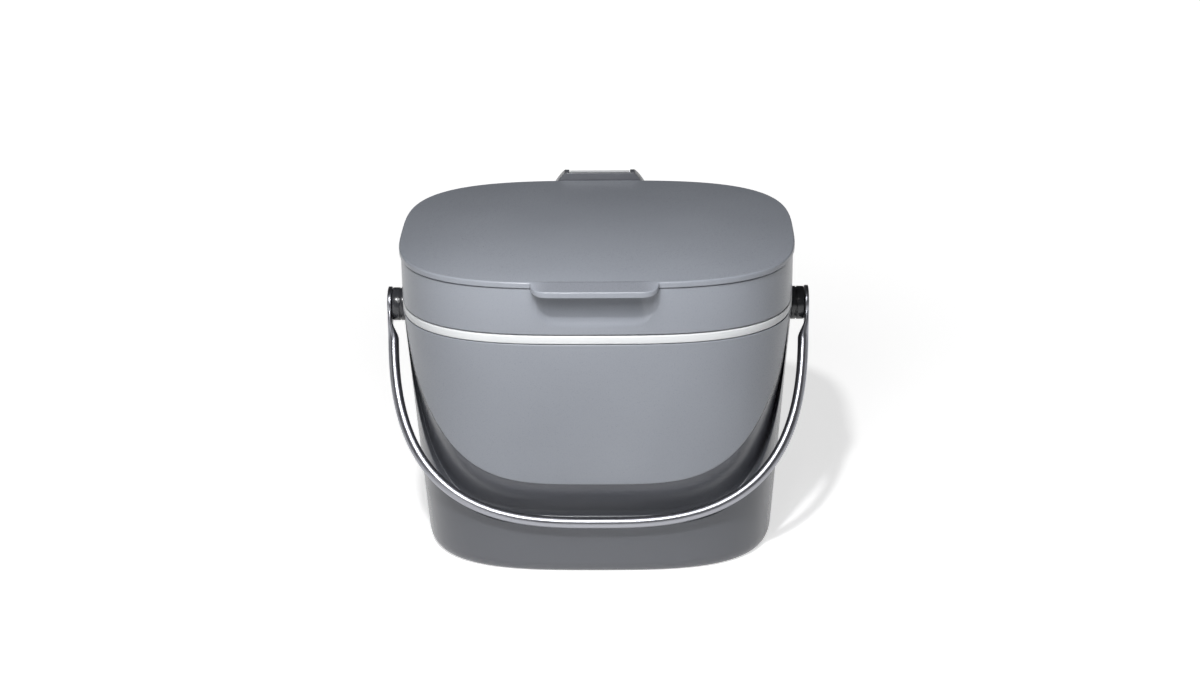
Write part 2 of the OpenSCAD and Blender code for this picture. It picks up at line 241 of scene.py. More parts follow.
def moulded_plastic(name, dark, light, roughness, wave=0.04, grain=0.01, shade_and_gloss=None):
    """Injection-moulded plastic. The eye sees a satin surface of nearly even colour that flows a little over
    a hand's width, a skin that waves by wave mm as it shrinks in the mould, and the fine grain of the mould,
    grain mm deep. Its real pitch is a tenth of a millimetre, too fine to show, so it is drawn coarser. Given
    a colour and a roughness for them, the points that a piece marks are glossier and painted darker: painted
    shade."""
    material = bpy.data.materials.new(name)
    material.use_nodes = True
    material.node_tree.nodes.clear()
    place = add_node(material, "ShaderNodeTexCoord")
    flow, shrink, fine = [
        add_node(
            material,
            "ShaderNodeTexNoise",
            {"Scale": 1000 / size, "Detail": detail},
            {"Vector": (place, "Object")},
        )
        for size, detail in ((flow_size, 2.0), (shrink_size, 1.0), (grain_size, 1.0))
    ]
    colour = add_node(material, "ShaderNodeValToRGB", None, {"Fac": (flow, "Fac")})
    colour.color_ramp.elements[0].position = 0.35
    colour.color_ramp.elements[0].color = linear(dark)
    colour.color_ramp.elements[1].position = 0.65
    colour.color_ramp.elements[1].color = linear(light)
    waves = add_node(
        material, "ShaderNodeBump", {"Strength": 1.0, "Distance": wave / 1000}, {"Height": (shrink, "Fac")}
    )
    skin = add_node(
        material,
        "ShaderNodeBump",
        {"Strength": 1.0, "Distance": grain / 1000},
        {"Height": (fine, "Fac"), "Normal": (waves, "Normal")},
    )
    gloss = add_node(
        material,
        "ShaderNodeMapRange",
        {**noise_range, "To Min": roughness * 0.88, "To Max": roughness * 1.12},
        {"Value": (fine, "Fac")},
    )
    shown, shine = (colour, "Color"), (gloss, "Result")
    # The darker colour mixed in by the point values is painted shade; the lower roughness makes those parts
    # glossier.
    if shade_and_gloss:
        part = add_node(material, "ShaderNodeAttribute", attribute_name="shade_and_polish")
        painted_shade_colour = add_node(
            material,
            "ShaderNodeMix",
            {7: linear(shade_and_gloss[0])},
            {0: (part, "Fac"), 6: shown},
            data_type="RGBA",
        )
        smooth = add_node(material, "ShaderNodeMix", {3: shade_and_gloss[1]}, {0: (part, "Fac"), 2: shine})
        shown, shine = (painted_shade_colour, 2), (smooth, 0)
    surface = add_node(
        material,
        "ShaderNodeBsdfPrincipled",
        {"IOR": 1.5},
        {"Base Color": shown, "Roughness": shine, "Normal": (skin, "Normal")},
    )
    add_node(material, "ShaderNodeOutputMaterial", None, {"Surface": (surface, "BSDF")})
    return material


# 5f6167 is painted shade: the darker colour of the channel, sides, foot, inside, hood and tab.
charcoal = moulded_plastic("charcoal_polypropylene", "#868a92", "#8c9098", 0.3, shade_and_gloss=("#5f6167", 0.27))


channel_columns = 220
panel_rows = 19
step_rows = 6
ramp_rows = 20
ramp_gap = 0.3
ramp_end = 0.86
ramp_full = 0.92
side_rows = 25
rim_clear = 0.6
radian_length = 100.0  # mm of wall that one radian stands for where points are spaced


def channelled_half(inset, grow, low, high):
    """The front half of the wall as a grid. Each row runs from the rim down to the panel's edge, over the
    edge and across the channel, and on to the foot or to the side's middle line. The channel's depth grows
    with the share of the way across it, then ends in a cove and a rounded shelf; where the channel narrows
    to nothing, on the sides, its whole section shrinks with its width."""
    top = min(channel_top + grow, high - rim_clear)
    edge = u_curve(channel_half, panel_z + grow, panel_powers, top, channel_columns)
    shelf = u_curve(channel_half + grow, shelf_z - grow, shelf_powers, top, channel_columns)
    rise = np.stack([np.zeros(4), np.linspace(high - top, 0, 5)[:-1]], -1)
    edge = np.concatenate([edge[0] + rise, edge, edge[-1] + rise[::-1]])
    shelf = np.concatenate([shelf[0] + rise, shelf, shelf[-1] + rise[::-1]])
    across = shelf - edge
    width = np.linalg.norm(across, axis=1)
    heading = across / np.maximum(width, 1e-9)[:, None]
    size = np.clip(width / channel_end_w, 0, 1)[:, None]
    share = np.linspace(0, ramp_end, ramp_rows + 1)[1:]
    ramp_d = panel_step + (channel_depth - panel_step) * np.clip(share / ramp_full, 0, 1)
    ramp_q = (width[:, None] - ramp_gap * size) * share
    start_q, start_d = fillet(-panel_step, panel_step, panel_step, -90, 0, step_rows)
    cove_q, cove_d = fillet(-shelf_cove, channel_depth - shelf_cove, shelf_cove, 90, 0, step_rows)
    lip_q, lip_d = fillet(shelf_round, shelf_round, shelf_round, 180, 270, step_rows)
    end_q = width[:, None] + np.concatenate([cove_q, lip_q]) * size
    q = np.concatenate([start_q * size, ramp_q, end_q], 1)
    d = np.concatenate([start_d, ramp_d, cove_d, lip_d])[None] * size
    x = edge[:, :1] + heading[:, :1] * q
    z = edge[:, 1:] + heading[:, 1:] * q
    half_w = half_sizes(z)[0] - inset
    x = np.clip(x, -half_w, half_w)
    y = -front_depth(x, z, inset) + d
    channel = np.stack([x, y, z], -1)
    first, last = channel[:, 0], channel[:, -1]
    angle = front_angle(first)
    fall = np.linspace(0, 1, panel_rows + 1)[:-1] ** 0.8
    panel = on_body(
        np.repeat(angle[:, None], len(fall), 1), high + (first[:, 2:] - high) * fall[None], inset
    )
    mm = [radian_length, 1]
    corners = np.array([[np.pi, high], [np.pi, low], [2 * np.pi, low], [2 * np.pi, high]])
    border = resample(corners * mm, len(edge)) / mm
    for corner in corners:
        border[np.argmin(np.linalg.norm((border - corner) * mm, axis=1))] = corner
    inner = np.stack([front_angle(last), last[:, 2]], -1)
    run = np.linspace(0, 1, side_rows + 1)[None, 1:, None]
    sheet = inner[:, None] + (border[:, None] - inner[:, None]) * run
    outside = on_body(sheet[..., 0], sheet[..., 1], inset)
    return np.concatenate([panel, channel, outside], 1)


def at_the_back(points, quads):
    """A front surface mirrored to the back, with its faces turned round so that they still face outwards."""
    return points * [1, -1, 1], quads[:, ::-1]


def stack(levels, angle, flip=False, low_pole=False, high_pole=False):
    """A surface through a stack of ovals, each level being half width, half depth and height.
    A pole closes an end with a point in its middle."""
    levels = np.asarray(levels, float)
    x, y = oval(angle[None], levels[:, :1], levels[:, 1:2])
    rings = np.stack([x, y, np.broadcast_to(levels[:, 2:], x.shape)], -1)
    if low_pole:
        rings = np.concatenate([np.broadcast_to([[[0, 0, levels[0, 2]]]], (1,) + rings.shape[1:]), rings])
    if high_pole:
        rings = np.concatenate([rings, np.broadcast_to([[[0, 0, levels[-1, 2]]]], (1,) + rings.shape[1:])])
    return rings, grid_quads(*rings.shape[:2], closed=True, flip=flip)


rim_z = bucket_h - 0.9
outer_half = channelled_half(0, 0, foot_h, rim_z)
inner_half = channelled_half(wall, wall, floor_t, shell_top)
outer_quads = grid_quads(*outer_half.shape[:2])
inner_quads = grid_quads(*inner_half.shape[:2], flip=True)


def edge_angles(half, at_top):
    """Angles of the wall's own points along its rim or its foot, all the way round."""
    flat = half.reshape(-1, 3)
    level = flat[:, 2].max() if at_top else flat[:, 2].min()
    found = flat[np.abs(flat[:, 2] - level) < 1e-6]
    angle = np.unique(np.round(front_angle(found), 7))
    keep = np.concatenate([[True], np.diff(angle) > 1e-5])
    angle = angle[keep]
    return np.concatenate([angle, 4 * np.pi - angle[::-1][1:-1]])


def inset_levels(profile, half_w=rim_half_w, half_d=rim_half_d):
    """Levels from (inset, height) pairs measured from the rim's oval."""
    profile = np.asarray(profile, float)
    return np.stack([half_w - profile[:, 0], half_d - profile[:, 0], profile[:, 1]], -1)


def rounded(points, radii, count=5):
    """A polyline with its inner corners rounded by circles of the given radii."""
    points = np.asarray(points, float)
    out = [points[0]]
    for k in range(1, len(points) - 1):
        here, r = points[k], radii[k]
        back, ahead = points[k - 1] - here, points[k + 1] - here
        lb, la = np.linalg.norm(back), np.linalg.norm(ahead)
        back, ahead = back / lb, ahead / la
        half = np.arccos(np.clip(back @ ahead, -1, 1)) / 2
        cut = min(r / np.tan(half), 0.49 * lb, 0.49 * la) if r else 0
        if cut < 1e-6:
            out.append(here)
            continue
        bisector = (back + ahead) / np.linalg.norm(back + ahead)
        centre = here + bisector * cut / np.cos(half)
        a, b = here + back * cut - centre, here + ahead * cut - centre
        swing = np.arccos(np.clip(a @ b / (a @ a), -1, 1))
        for t in np.linspace(0, 1, count):
            out.append(centre + (np.sin((1 - t) * swing) * a + np.sin(t * swing) * b) / np.sin(swing))
    out.append(points[-1])
    return np.array(out)


def level_at(z, inset):
    """Half width, half depth and height of the wall at a height, set in by inset."""
    a, b = half_sizes(z)
    return np.array([a - inset, b - inset, z])


rim_profile = rounded(
    [
        [0, rim_z],
        [-0.06, bucket_h],
        [shoulder, bucket_h],
        [shoulder, upstand_top],
        [shoulder + upstand_t, upstand_top],
        [shoulder + upstand_t, shell_top],
    ],
    [0, 0.7, 0.5, 0.7, 0.7, 0],
)
rim_levels = inset_levels(rim_profile, *half_sizes(rim_z))
bucket_rim = stack(rim_levels, edge_angles(outer_half, True))
ledge = stack([rim_levels[-1], level_at(shell_top, wall)], edge_angles(inner_half, True))
foot_share = np.linspace(1, 0, 12) ** 2
foot_in = foot_round * (1 - (1 - (1 - foot_share) ** 2.6) ** 0.62)
foot_levels = np.array([level_at(z, inset) for z, inset in zip(foot_share * foot_h, foot_in)])
foot_flat = foot_levels[-1] * [[0.9, 0.9, 1], [0.4, 0.4, 1]]
foot = stack(
    np.concatenate([foot_levels, foot_flat]), edge_angles(outer_half, False), flip=True, high_pole=True
)
floor_levels = level_at(floor_t, wall) * [[1, 1, 1], [0.9, 0.9, 1], [0.4, 0.4, 1]]
inside_floor = stack(floor_levels, edge_angles(inner_half, False), high_pole=True)


pivot_z = 160.5
boss_in = 124.0
boss_out = 131.7
boss_r = 11.4
boss_bore = 3.4


def lathe(profile, side, height=pivot_z, count=64):
    """A profile of (distance along x, radius) pairs turned round a line across the caddy: y = radius * cos,
    z = height + radius * sin. A side of -1 mirrors it to the left."""
    profile = np.asarray(profile, float)
    angle = np.linspace(0, 2 * np.pi, count, endpoint=False)
    x = np.repeat(profile[:, :1], count, 1) * side
    y = profile[:, 1:] * np.cos(angle)
    z = profile[:, 1:] * np.sin(angle) + height
    rings = np.stack([x, y, z], -1)
    return rings, grid_quads(*rings.shape[:2], closed=True, flip=side < 0)


boss = rounded(
    [[boss_in, boss_r], [boss_out, boss_r], [boss_out, boss_bore], [boss_in, boss_bore]], [0, 0.4, 0.3, 0], 4
)
bosses = [lathe(boss, side) for side in (1, -1)]


def point_values(surfaces):
    """One value for every point of several (surface, value or values) pairs, one after another."""
    return np.concatenate([np.broadcast_to(value, points.size // 3) for (points, _), value in surfaces])


# Painted shade: every point outside the textured panel, and the inside, ledge, foot and bosses, take the
# darker colour, and are glossier too.
wall_shade_and_polish = np.ones(outer_half.shape[:2])
wall_shade_and_polish[:, : panel_rows + step_rows // 2] = 0
bucket_surfaces = [
    ((outer_half, outer_quads), wall_shade_and_polish.ravel()),
    (at_the_back(outer_half, outer_quads), wall_shade_and_polish.ravel()),
    ((inner_half, inner_quads), 1),
    (at_the_back(inner_half, inner_quads), 1),
    (bucket_rim, 0),
    (ledge, 1),
    (foot, 1),
    (inside_floor, 1),
    *[(surface, 1) for surface in bosses],
]
make_piece(
    "bucket_moulding",
    [surface for surface, _ in bucket_surfaces],
    "bucket_body",
    charcoal,
    "bucket",
    shade_and_polish=point_values(bucket_surfaces),
)

# ---------- Trim ring ----------
# A pale satin ring, moulded in ABS, that drops over the bucket's upstand and rests on its
# shoulder. Its outer edges are rolled, and a fine gap shows above and below it.

ring_low = 172.1
ring_high = 177.8
ring_t = 3.0
ring_middle = (ring_low + ring_high) / 2
ring_profile = rounded(
    [
        [0, ring_middle],
        [0, ring_high],
        [ring_t, ring_high],
        [ring_t, ring_low],
        [0, ring_low],
        [0, ring_middle],
    ],
    [0, 1.0, 0.4, 0.4, 0.8, 0],
)
all_round = np.linspace(0, 2 * np.pi, 480, endpoint=False)
pale_abs = moulded_plastic("pale_abs", "#d2d4d6", "#d8dadb", 0.32)
make_piece(
    "trim_ring_moulding",
    [stack(inset_levels(ring_profile), all_round)],
    "bucket_body",
    pale_abs,
    "trim_ring",
)

# ---------- Handle pivots ----------
# A black nylon bush is pressed into each side of the bucket, with a groove turned round its
# head. A domed steel pin goes through the handle's eye into it.

bush_in = 123.0
bush_out = 140.6
bush_r = 5.45
bush_bore = 3.02
head_r = 11.4
groove_in = 134.9
groove_w = 0.8
groove_depth = 0.6
pin_in = 124.2
pin_r = 3.0
pin_head_in = 142.5
pin_head_r = 6.0

black_nylon = moulded_plastic("black_nylon", "#3c3d41", "#424347", 0.24)
bush_profile = rounded(
    [
        [bush_in, bush_r],
        [boss_out, bush_r],
        [boss_out, head_r],
        [groove_in, head_r],
        [groove_in, head_r - groove_depth],
        [groove_in + groove_w, head_r - groove_depth],
        [groove_in + groove_w, head_r],
        [bush_out, head_r],
        [bush_out, bush_bore],
        [bush_in, bush_bore],
        [bush_in, bush_r],
    ],
    [0, 0.3, 0.4, 0.2, 0.2, 0.2, 0.2, 0.7, 0.3, 0.3, 0],
    4,
)
pin_profile = rounded(
    [
        [pin_in, 0],
        [pin_in, pin_r],
        [pin_head_in, pin_r],
        [pin_head_in, pin_head_r],
        [pin_head_in + 0.8, pin_head_r],
        [pin_head_in + 1.1, pin_head_r - 2.5],
        [pin_head_in + 1.2, 0],
    ],
    [0, 0.4, 0, 0.15, 0.5, 1.5, 0],
    4,
)


def drawn_steel(name, tint, roughness, line_width, line_length, depth):
    """Stainless steel, drawn or turned and then polished, so that the eye sees long soft reflections with
    faint lines in them. The lines are line_width by line_length mm, depth mm deep, and follow the piece's
    own grain attribute, in millimetres across, across and along."""
    material = bpy.data.materials.new(name)
    material.use_nodes = True
    material.node_tree.nodes.clear()
    grain = add_node(material, "ShaderNodeAttribute", attribute_name="grain")
    stretch = add_node(
        material,
        "ShaderNodeMapping",
        {"Scale": (1 / line_width, 1 / line_width, 1 / line_length)},
        {"Vector": (grain, "Vector")},
    )
    lines = add_node(
        material, "ShaderNodeTexNoise", {"Scale": 1.0, "Detail": 2.0}, {"Vector": (stretch, "Vector")}
    )
    gloss = add_node(
        material,
        "ShaderNodeMapRange",
        {**noise_range, "To Min": roughness * 0.8, "To Max": roughness * 1.25},
        {"Value": (lines, "Fac")},
    )
    skin = add_node(
        material, "ShaderNodeBump", {"Strength": 1.0, "Distance": depth / 1000}, {"Height": (lines, "Fac")}
    )
    surface = add_node(
        material,
        "ShaderNodeBsdfPrincipled",
        {"Base Color": linear(tint), "Metallic": 1.0},
        {"Roughness": (gloss, "Result"), "Normal": (skin, "Normal")},
    )
    add_node(material, "ShaderNodeOutputMaterial", None, {"Surface": (surface, "BSDF")})
    return material


pin_steel = drawn_steel("turned_stainless_steel", "#b9babd", 0.22, 0.4, 6, 0.002)


def turned_grain(rings):
    """Grain of a turned pin: its lines run round it, so they change with the radius and along the axis."""
    points = rings.reshape(-1, 3)
    radius = np.hypot(points[:, 1], points[:, 2] - pivot_z)
    return np.stack([radius, points[:, 0], radius * 0], -1)


for side, word in ((1, "right"), (-1, "left")):
    make_piece(
        f"pivot_bush_{word}_moulding",
        [lathe(bush_profile, side, count=96)],
        "bucket_body",
        black_nylon,
        f"pivot_bush_{word}",
    )
    turned = lathe(pin_profile, side)
    make_piece(
        f"pivot_pin_{word}_turned",
        [turned],
        "bucket_body",
        pin_steel,
        f"pivot_pin_{word}",
        grain=turned_grain(turned[0]),
    )

# ---------- Handle ----------
# The handle is one polished stainless rod bent to a flat-topped arch. Its ends are pressed
# flat into two round eyes, drilled and countersunk for the pins.

bail_half = 143.8
bail_reach = 156.8
bail_squareness = 2.85
rod_d = 7.3
rod_start = 7.4
paddle_fade = {"sunk": (10, 18), "thick": (12, 26), "wide": (8, 28), "square": (10, 26)}
eye_t = 2.8
eye_r = 12.0
eye_core = 8.0
eye_bore = 3.05
eye_sink_r = 6.3
eye_sink = 1.5
paddle_w = 18.0
paddle_sunk = 0.04
rest_lean = np.radians(38.3)

rod_steel = drawn_steel("drawn_stainless_steel", "#93949a", 0.34, 0.35, 30, 0.001)


def ease(value, low, high):
    """Smooth step: 0 at low, 1 at high, 3s^2 - 2s^3 between."""
    s = np.clip((value - low) / (high - low), 0, 1)
    return s * s * (3 - 2 * s)


def leant(points):
    """Turns the upright arch about the pivots to where it rests."""
    x, y, z = points[..., 0], points[..., 1], points[..., 2]
    c, s = np.cos(rest_lean), np.sin(rest_lean)
    return np.stack([x, y * c + z * s, pivot_z - y * s + z * c], -1)


def bent_rod(rows=460, around=40):
    """A section carried along |x/half|^p + (drop/reach)^p = 1, that curve being the rod's outer line. The
    section is |u/thick|^e + |v/wide|^e = 1; near the eyes it is thin, wide and square, and over the drops in
    paddle_fade it grows round.
    Its flat ends lie a hair inside the eyes, so that no two faces share a plane."""
    t = np.linspace(0.0035, np.pi - 0.0035, 20001)
    x = bail_half * np.sign(np.cos(t)) * np.abs(np.cos(t)) ** (2 / bail_squareness)
    drop = bail_reach * np.sin(t) ** (2 / bail_squareness)
    line = np.stack([x, drop], -1)[drop > rod_start]
    line = resample(line, rows)
    x, drop = line[:, 0], line[:, 1]
    out_x = np.sign(x) * (np.abs(x) / bail_half) ** (bail_squareness - 1) / bail_half
    out_z = -((drop / bail_reach) ** (bail_squareness - 1)) / bail_reach
    size = np.hypot(out_x, out_z)
    out_x, out_z = out_x / size, out_z / size
    sunk = paddle_sunk * (1 - ease(drop, *paddle_fade["sunk"]))
    thick = (eye_t + (rod_d - eye_t) * ease(drop, *paddle_fade["thick"])) / 2 - sunk
    wide = (paddle_w + (rod_d - paddle_w) * ease(drop, *paddle_fade["wide"])) / 2 - sunk
    power = 2 / (2 + 3 * (1 - ease(drop, *paddle_fade["square"])))
    f = np.linspace(0, 2 * np.pi, around, endpoint=False)[None]
    u = np.sign(np.cos(f)) * np.abs(np.cos(f)) ** power[:, None] * thick[:, None]
    v = -np.sign(np.sin(f)) * np.abs(np.sin(f)) ** power[:, None] * wide[:, None]
    inward = (thick + sunk)[:, None] - u
    points = np.stack([x[:, None] - out_x[:, None] * inward, v, -drop[:, None] - out_z[:, None] * inward], -1)
    along = np.concatenate([[0], np.cumsum(np.linalg.norm(np.diff(line, axis=0), axis=1))])
    grain = np.stack([u, v, np.broadcast_to(along[:, None], u.shape)], -1)
    ends = [np.broadcast_to(p.mean(0), (1,) + p.shape) for p in (points[0], points[-1])]
    points = np.concatenate([ends[0], points, ends[1]])
    grain = np.concatenate([grain[:1], grain, grain[-1:]])
    return points, grid_quads(*points.shape[:2], closed=True), grain


eye_profile = rounded(
    [
        [bail_half - eye_t, eye_core],
        [bail_half - eye_t, eye_r],
        [bail_half, eye_r],
        [bail_half, eye_sink_r],
        [bail_half - eye_sink, eye_sink_r],
        [bail_half - eye_sink, eye_bore],
        [bail_half - eye_t, eye_bore],
        [bail_half - eye_t, eye_core],
    ],
    [0, 0.7, 0.7, 0.25, 0.2, 0.1, 0.2, 0],
    4,
)
rod_points, rod_quads, rod_grain = bent_rod()
eyes = [lathe(eye_profile, side, height=0, count=96) for side in (1, -1)]
eye_grain = [np.abs(points.reshape(-1, 3)) - [bail_half, 0, 0] for points, _ in eyes]
make_piece(
    "handle_rod",
    [(leant(rod_points), rod_quads)] + [(leant(points), quads) for points, quads in eyes],
    "handle",
    rod_steel,
    "handle_bail",
    grain=np.concatenate([rod_grain.reshape(-1, 3)] + eye_grain),
)

# ---------- Collar ----------
# The collar is a second charcoal moulding, an upright oval band with a narrow deck that the
# lid closes on. A shallow dish in its front leaves room for a thumb under the lid's tab.

collar_low = 178.7
collar_high = 210.3
collar_t = 2.6
deck_w = 12.0
deck_t = 2.4
dish_half = 38.0
dish_low = collar_low + 4
dish_corner = 14.0
dish_depth = 5.0
dish_bow = 120.0
dish_blend = 5.0
dish_wall = 2.2
dish_columns_half = 46.0
top_fade = 1.5
top_blend = 0.7


def soft_least(a, b, reach):
    """The smaller of two values, blended over a reach: min(a, b) - (reach - |a - b|)^2 / 4 reach."""
    reach = np.maximum(reach, 1e-9)
    return np.minimum(a, b) - np.maximum(reach - np.abs(a - b), 0) ** 2 / (4 * reach)


def dished(points, grow):
    """Pushes points back behind the dish. Its back is a flat arc, (y - yc)^2 + (z - zc)^2 = bow^2, that leans
    back as it rises to the deck, and its sides and its foot are eased into it round two rounded corners;
    grow moves the whole surface back for the inner side of the wall."""
    x, y, z = points[..., 0], points[..., 1], points[..., 2]
    chord = np.array([dish_depth, collar_high - dish_low])
    length = np.hypot(*chord)
    height = np.sqrt(dish_bow**2 - length**2 / 4)
    centre = [-rim_half_d, dish_low] + chord / 2 + np.array([-chord[1], chord[0]]) / length * height
    arc = centre[0] + np.sqrt((dish_bow + grow) ** 2 - (z - centre[1]) ** 2) + rim_half_d
    across = np.abs(x) - (dish_half - dish_corner)
    below = dish_low + dish_corner - z
    outside = np.hypot(np.maximum(across, 0), np.maximum(below, 0))
    outside += np.minimum(np.maximum(across, below), 0) - dish_corner - grow
    depth = soft_least(arc, -outside, dish_blend)
    near_top = np.clip((collar_high - z) / top_fade, 0, 1)
    pushed = -soft_least(-y, rim_half_d - depth, top_blend * near_top)
    return np.stack([x, np.where(y < 0, pushed, y), z], -1)


def across_deck(start, end, z, count):
    """Profile points straight across the deck, from one inset to another at one height."""
    return np.stack([np.linspace(start, end, count), np.full(count, z)], -1)


def up_the_wall(inset, low, high, count=50):
    """Profile points straight up the wall at one inset."""
    return np.stack([np.full(count, inset), np.linspace(low, high, count)], -1)


deck_under = collar_high - deck_t
outside_rows = np.concatenate(
    [
        up_the_wall(0, collar_low + 0.9, collar_high - 1.2),
        rounded([[0, collar_low + 1.5], [0, collar_high], [2, collar_high]], [0, 0.8, 0], 6)[1:-1],
        across_deck(1.6, deck_w - 0.6, collar_high, 16),
    ]
)
deck_end = [
    [deck_w - 0.6, collar_high],
    [deck_w, collar_high],
    [deck_w, deck_under],
    [deck_w - 1, deck_under],
]
wall_foot = [
    [collar_t, collar_low + 0.5],
    [collar_t, collar_low],
    [0, collar_low],
    [0, collar_low + 0.9],
]
inside_rows = np.concatenate(
    [
        rounded(deck_end, [0, 0.5, 0.5, 0], 4)[1:],
        across_deck(deck_w - 2, collar_t + 0.6, deck_under, 10),
        up_the_wall(collar_t, deck_under - 0.6, collar_low + 0.5),
        rounded(wall_foot, [0, 0.3, 0.5, 0], 4)[1:],
    ]
)
front_x = np.linspace(-dish_columns_half, dish_columns_half, 231)
front_angles = np.arctan2(-front_depth(front_x, bucket_h), front_x) % (2 * np.pi)
from_front = np.abs(all_round - 1.5 * np.pi)
far_angles = all_round[from_front > front_angles[-1] - 1.5 * np.pi + 0.004]
collar_angle = np.sort(np.concatenate([far_angles, front_angles]))
out_sheet, _ = stack(inset_levels(outside_rows), collar_angle)
in_sheet, _ = stack(inset_levels(inside_rows), collar_angle)
collar_rings = np.concatenate([dished(out_sheet, 0.0), dished(in_sheet, dish_wall)])
collar_rings[-1] = collar_rings[0]
make_piece(
    "collar_moulding",
    [(collar_rings, grid_quads(*collar_rings.shape[:2], closed=True))],
    "collar_body",
    charcoal,
    "collar",
)

# ---------- Hinge bracket and its fixings ----------
# A pale ABS bracket is screwed to the back of the collar with two screws. Its barrel turns on
# a plain steel pin that the lid's cheeks hold.

hinge_y = 109.0
hinge_z = 215.2
barrel_half = 21.4
barrel_r = 4.4
bracket_y = rim_half_d + 0.05
bracket_top = collar_high - 0.6
bracket_drop = 14.0
plate_half = 26.0
plate_drop = 22.0
plate_t = 3.4


def bevelled_plate(outline, low, high, edge, steps=4):
    """A flat piece from a closed outline (u, v) between two levels w. Towards each end the outline is drawn
    in along its normals by edge*(1 - cos) while the level goes on by edge*sin, so the edges are round."""
    outline = np.asarray(outline, float)
    back, ahead = np.roll(outline, 1, axis=0), np.roll(outline, -1, axis=0)
    along = (ahead - back) / np.maximum(np.linalg.norm(ahead - back, axis=1), 1e-9)[:, None]
    inward = np.stack([-along[:, 1], along[:, 0]], -1)
    turn = np.radians(np.linspace(0, 90, steps + 1))
    shrink = edge * (1 - np.cos(turn))
    rise = edge * np.sin(turn)
    levels = np.concatenate([(low + edge - rise)[::-1], high - edge + rise])
    insets = np.concatenate([shrink[::-1], shrink])
    rings = outline[None] + inward[None] * insets[:, None, None]
    rings = np.concatenate([rings, np.broadcast_to(levels[:, None, None], rings.shape[:2] + (1,))], -1)
    middle = outline.mean(0)
    caps = [np.broadcast_to([[[*middle, w]]], (1,) + rings.shape[1:]) for w in (low, high)]
    rings = np.concatenate([caps[0], rings, caps[1]])
    return rings, grid_quads(*rings.shape[:2], closed=True)


def closed_outline(points, radii, count=6):
    """A closed outline with rounded corners, its points running anticlockwise and no two in one place."""
    points = np.asarray(points, float)
    middle = (points[0] + points[-1]) / 2
    ring = rounded(np.concatenate([[middle], points, [middle]]), [0, *radii, 0], count)[:-1]
    apart = np.linalg.norm(ring - np.roll(ring, -1, axis=0), axis=1) > 1e-4
    return ring[apart]


def laid(plate, axes):
    """A plate with its u, v and level put on the given axes of the caddy. Its faces are turned round where
    that swaps left for right."""
    rings, quads = plate
    swapped = np.linalg.det(np.eye(3)[list(axes)]) < 0
    return rings[..., np.argsort(axes)], quads[:, ::-1] if swapped else quads


arc = np.radians(np.linspace(0, 180, 25))
barrel_line = np.stack([hinge_y + barrel_r * np.cos(arc), hinge_z + barrel_r * np.sin(arc)], -1)
body_line = np.concatenate(
    [
        [[bracket_y, bracket_top - bracket_drop], [bracket_y + 4, bracket_top - bracket_drop]],
        [[hinge_y + barrel_r, bracket_top - 2]],
        barrel_line,
        [[hinge_y - barrel_r, bracket_top], [bracket_y, bracket_top]],
    ]
)
body_radii = [0.6, 3, 3] + [0] * len(barrel_line) + [0.8, 0.6]
bracket_body = bevelled_plate(closed_outline(body_line, body_radii), -barrel_half, barrel_half, 0.5)
plate_line = [
    [-plate_half, bracket_top - plate_drop],
    [plate_half, bracket_top - plate_drop],
    [barrel_half, bracket_top],
    [-barrel_half, bracket_top],
]
bracket_plate = bevelled_plate(
    closed_outline(plate_line, [4, 4, 1.5, 1.5]), bracket_y, bracket_y + plate_t, 0.6
)
make_piece(
    "hinge_bracket_moulding",
    [laid(bracket_body, (1, 2, 0)), laid(bracket_plate, (0, 2, 1))],
    "collar_body",
    pale_abs,
    "hinge_bracket",
)


def plain_steel(name, tint, roughness, streak_length=16.0, streak_width=0.4):
    """Bright drawn steel wire as bought, which looks plain and is faintly streaked along its length. The
    streaks are streak_length by streak_width mm."""
    material = bpy.data.materials.new(name)
    material.use_nodes = True
    material.node_tree.nodes.clear()
    place = add_node(material, "ShaderNodeTexCoord")
    stretch = add_node(
        material,
        "ShaderNodeMapping",
        {"Scale": (1000 / streak_length, 1000 / streak_width, 1000 / streak_width)},
        {"Vector": (place, "Object")},
    )
    streak = add_node(
        material, "ShaderNodeTexNoise", {"Scale": 1.0, "Detail": 1.0}, {"Vector": (stretch, "Vector")}
    )
    gloss = add_node(
        material,
        "ShaderNodeMapRange",
        {**noise_range, "To Min": roughness * 0.8, "To Max": roughness * 1.3},
        {"Value": (streak, "Fac")},
    )
    surface = add_node(
        material,
        "ShaderNodeBsdfPrincipled",
        {"Base Color": linear(tint), "Metallic": 1.0},
        {"Roughness": (gloss, "Result")},
    )
    add_node(material, "ShaderNodeOutputMaterial", None, {"Surface": (surface, "BSDF")})
    return material


bright_steel = plain_steel("bright_drawn_steel", "#b4b5b8", 0.28)
for name in ("hinge_pin", "hinge_screws"):
    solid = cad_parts[name]
    solid.data.materials.clear()
    solid.data.materials.append(bright_steel)

# ---------- Lid ----------
# The lid is a charcoal moulding with a rolled edge and a slightly crowned top. A flat thumb tab
# grows out of the middle of its front edge, and a hood at its back covers the hinge.

lid_low = 210.9
lid_high = 214.9
lid_half_w = 132.5
lid_half_d = 102.0
lid_t = 2.1
edge_in = 2.4
edge_r = 2.5
crown = 1.2
crown_start = 3.2
crown_power = 2.28
tab_half = 41.5
tab_run = 14.5
tab_out = 9.5
tab_low = 208.2
tab_high = 212.0

